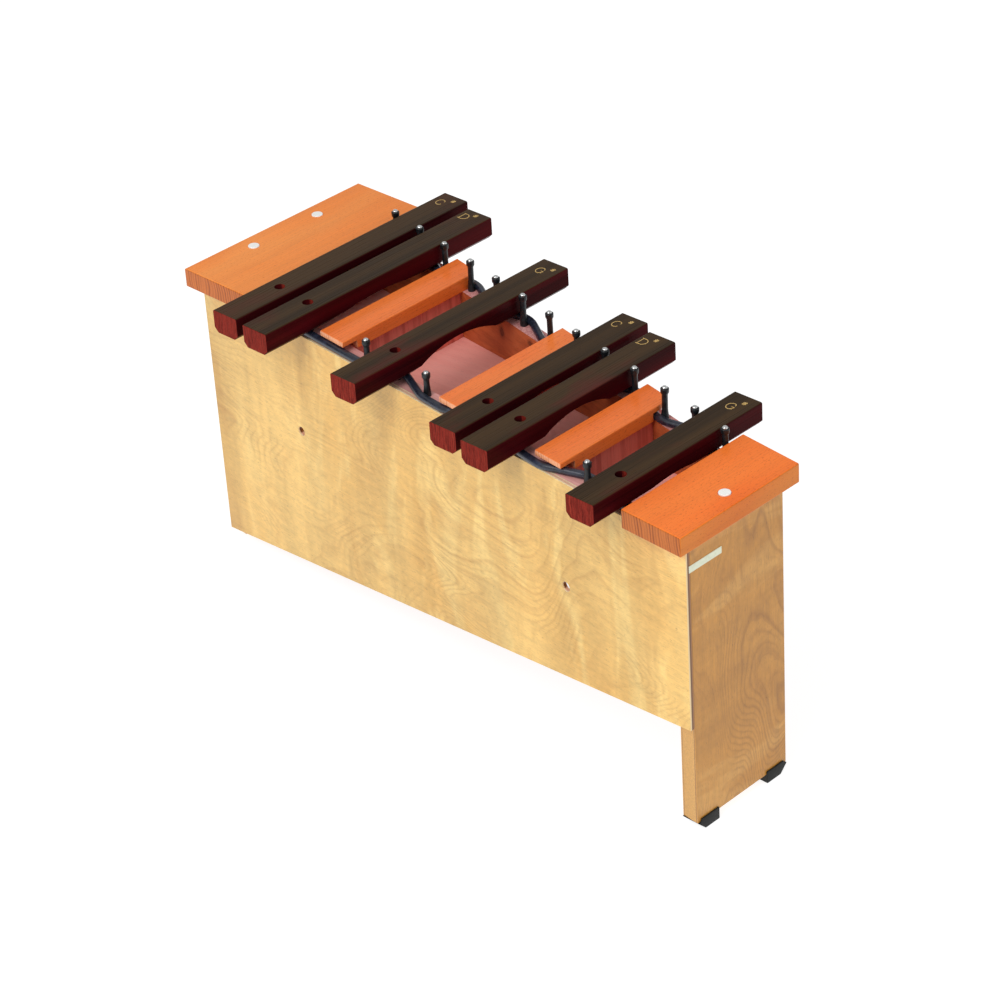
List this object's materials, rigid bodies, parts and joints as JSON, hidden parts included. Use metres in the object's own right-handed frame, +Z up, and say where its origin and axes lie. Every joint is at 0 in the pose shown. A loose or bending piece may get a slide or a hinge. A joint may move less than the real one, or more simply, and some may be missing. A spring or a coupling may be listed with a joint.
{
  "type": "box-resonator marimba",
  "caption": "Chromatic box marimba with a tapering resonator box on end panels, lift-off wooden bars on woven rubber tubes, nail pins in sleeves and spacer strips.",
  "frame": {"origin": "on the floor, in the middle of the overall plan", "axes": "+X along the row of bars towards the short bars, -Y the side of the long facing panel, +Z up"},
  "size_m": [0.6338, 0.3108, 0.3024],
  "materials": {
    "birch_ply": "clear satin lacquer",
    "end_ply": "clear satin lacquer",
    "beech_orange": "satin lacquer",
    "inner_pink": "thin matt lacquer",
    "rosewood": "polished",
    "tube_rubber": "soft matt",
    "sleeve_rubber": "matt",
    "pin_steel": "bright",
    "foot_rubber": "matt",
    "cap_white": "gloss",
    "plate_paper": "matt"
  },
  "bodies": {
    "body": {"front_panel": "birch_ply", "back_wall": "beech_orange", "front_rail": "inner_pink", "left_end_panel": "end_ply", "right_end_panel": "end_ply", "left_board": "beech_orange", "right_board": "beech_orange", "back_pin_sleeves": "sleeve_rubber", "back_pins": "pin_steel", "front_pin_sleeves": "sleeve_rubber", "front_pins": "pin_steel", "back_tube": "tube_rubber", "front_tube": "tube_rubber", "left_board_screws": "pin_steel", "right_board_screw": "pin_steel", "left_board_caps": "cap_white", "right_board_cap": "cap_white", "foot_right_front": "foot_rubber", "foot_right_back": "foot_rubber", "foot_left_front": "foot_rubber", "foot_left_back": "foot_rubber", "end_plate": "plate_paper", "resonator_floor_1": "inner_pink", "resonator_floor_2": "inner_pink", "resonator_floor_3": "inner_pink", "resonator_floor_4": "inner_pink", "divider_1": "inner_pink", "spacer_strip_1": "beech_orange", "divider_2": "inner_pink", "spacer_strip_2": "beech_orange", "divider_3": "inner_pink", "spacer_strip_3": "beech_orange"},
    "lift_c_sharp_low": {"bar_c_sharp_low": "rosewood"},
    "lift_d_sharp_low": {"bar_d_sharp_low": "rosewood"},
    "lift_g_sharp_low": {"bar_g_sharp_low": "rosewood"},
    "lift_c_sharp_high": {"bar_c_sharp_high": "rosewood"},
    "lift_d_sharp_high": {"bar_d_sharp_high": "rosewood"},
    "lift_g_sharp_high": {"bar_g_sharp_high": "rosewood"}
  },
  "joints": [
    {"name": "lift_off_c_sharp_low", "type": "slide", "parent": "body", "child": "lift_c_sharp_low", "axis": [0, 0, 1], "range_m": [0, 0.06]},
    {"name": "lift_off_d_sharp_low", "type": "slide", "parent": "body", "child": "lift_d_sharp_low", "axis": [0, 0, 1], "range_m": [0, 0.06]},
    {"name": "lift_off_g_sharp_low", "type": "slide", "parent": "body", "child": "lift_g_sharp_low", "axis": [0, 0, 1], "range_m": [0, 0.06]},
    {"name": "lift_off_c_sharp_high", "type": "slide", "parent": "body", "child": "lift_c_sharp_high", "axis": [0, 0, 1], "range_m": [0, 0.06]},
    {"name": "lift_off_d_sharp_high", "type": "slide", "parent": "body", "child": "lift_d_sharp_high", "axis": [0, 0, 1], "range_m": [0, 0.06]},
    {"name": "lift_off_g_sharp_high", "type": "slide", "parent": "body", "child": "lift_g_sharp_high", "axis": [0, 0, 1], "range_m": [0, 0.06]}
  ]
}
